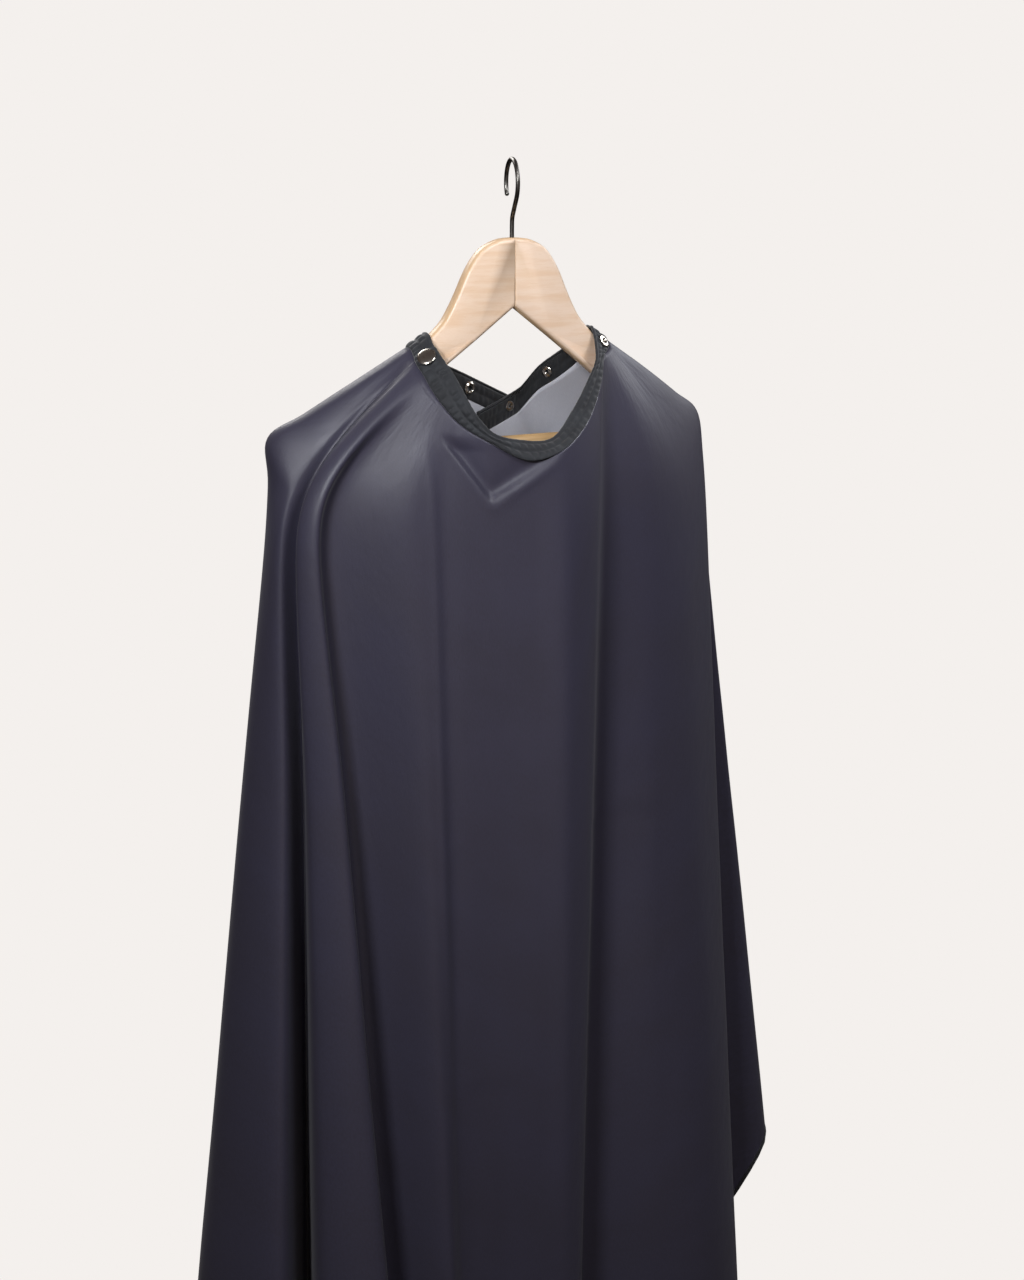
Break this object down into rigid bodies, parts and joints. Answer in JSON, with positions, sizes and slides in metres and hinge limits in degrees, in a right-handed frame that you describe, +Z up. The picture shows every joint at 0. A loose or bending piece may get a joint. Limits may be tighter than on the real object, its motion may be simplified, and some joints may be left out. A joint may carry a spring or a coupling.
{
  "type": "barber cape",
  "caption": "Dark satin barber cape with an elastic snap neckband and a bound hem, hanging on a contoured wooden coat hanger with a swivel hook.",
  "frame": {"origin": "inside top of the hanger's hook, where the rail touches it", "axes": "+Z up; X along the hanger; the wearer's front faces -Y and the snap closure is at +Y"},
  "size_m": [0.57, 0.219, 1.0985],
  "materials": {
    "cape_cloth": "satin woven polyester, pale grey inside face",
    "binding": "matt folded binding",
    "neckband": "shirred and stitched",
    "elastic": "woven elastic",
    "nickel": "polished nickel plate",
    "spring_wire": "bright spring wire",
    "steel_wire": "dull steel wire",
    "pale_wood": "clear satin lacquer",
    "bar_wood": "clear satin lacquer"
  },
  "bodies": {
    "hook": {"hook": "steel_wire"},
    "hanger": {"hanger_left_arm": "pale_wood", "hanger_right_arm": "pale_wood", "joint_dowel": "bar_wood", "trouser_bar": "bar_wood"},
    "cape": {"cape_panel": "cape_cloth", "hem_binding": "binding", "neckband_outer": "neckband", "neckband_elastic": "elastic", "neckband_facing": "neckband", "snap_cap_1": "nickel", "snap_cap_2": "nickel", "snap_socket_1": "nickel", "snap_socket_2": "nickel", "socket_spring_1": "spring_wire", "socket_spring_2": "spring_wire", "snap_stud_1": "nickel", "snap_stud_2": "nickel", "snap_stud_3": "nickel", "snap_stud_4": "nickel", "stud_post_1": "nickel", "stud_post_2": "nickel", "stud_post_3": "nickel", "stud_post_4": "nickel"},
    "back_left": {"back_left_panel": "cape_cloth", "hem_binding_back_left": "binding", "neckband_left_end_outer": "neckband", "neckband_left_end_elastic": "elastic", "neckband_left_end_facing": "neckband", "snap_cap_3": "nickel", "snap_cap_4": "nickel", "snap_cap_5": "nickel", "snap_socket_3": "nickel", "snap_socket_4": "nickel", "snap_socket_5": "nickel", "socket_spring_3": "spring_wire", "socket_spring_4": "spring_wire", "socket_spring_5": "spring_wire"}
  },
  "joints": [
    {"name": "hook_swivel", "type": "hinge", "parent": "hook", "child": "hanger", "pos_m": [0, 0, -0.07], "axis": [0, 0, 1], "continuous": true},
    {"name": "cape_lift", "type": "slide", "parent": "hanger", "child": "cape", "axis": [0, 0, 1], "range_m": [0, 1.1]},
    {"name": "back_left_fold", "type": "hinge", "parent": "cape", "child": "back_left", "pos_m": [-0.06253, 0.03951, -0.1499], "axis": [0.0643, -0.041, 0.9971], "range_deg": [0, 70]}
  ]
}
